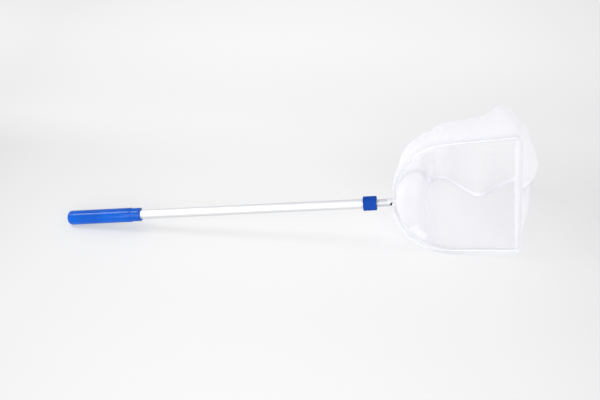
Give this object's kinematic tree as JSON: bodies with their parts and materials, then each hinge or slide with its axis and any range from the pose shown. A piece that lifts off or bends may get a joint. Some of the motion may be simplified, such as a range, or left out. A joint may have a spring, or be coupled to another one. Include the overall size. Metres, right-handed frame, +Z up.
{
  "type": "telescopic_pond_net",
  "caption": "Telescopic pond net: blue grip, satin aluminium pole with twist lock, D-shaped wire hoop and a deep white mesh bag, resting closed on the floor",
  "frame": {"origin": "middle of the whole net's footprint, on the floor", "axes": "+X along the pole from grip to hoop, +Y towards the back of the bag, +Z up"},
  "size_m": [0.8065, 0.2216, 0.2291],
  "materials": {
    "grip_blue": "gloss",
    "collar_blue": "matte",
    "tube_aluminium": "satin",
    "wire_steel": "satin",
    "lock_black": "matte",
    "bush_white": "matte",
    "mesh_white": "open mesh",
    "hem_white": "woven",
    "label_white": "satin weave"
  },
  "bodies": {
    "handle": {"grip": "grip_blue", "outer_tube": "tube_aluminium", "front_bush": "bush_white", "lock_sleeve": "lock_black", "collet_ring": "bush_white"},
    "collar": {"lock_collar": "collar_blue"},
    "slider": {"rear_bush": "bush_white"},
    "head": {"inner_tube": "tube_aluminium", "neck_plug": "lock_black", "neck_rivet": "tube_aluminium", "hoop_wire": "wire_steel", "hem_sleeve": "hem_white", "upper_panel": "mesh_white", "lower_panel": "mesh_white", "bag_seam": "hem_white", "label_tag": "label_white"}
  },
  "joints": [
    {"name": "telescope", "type": "slide", "parent": "handle", "child": "slider", "axis": [0.9901, 0, 0.14], "range_m": [0, 0.45]},
    {"name": "head_swivel", "type": "hinge", "parent": "slider", "child": "head", "pos_m": [-0.38853, -0.09542, 0.01337], "axis": [0.9901, 0, 0.14], "continuous": true},
    {"name": "collar_twist", "type": "hinge", "parent": "handle", "child": "collar", "pos_m": [0.1109, -0.09542, 0.08399], "axis": [0.9901, 0, 0.14], "range_deg": [0, 120]}
  ]
}
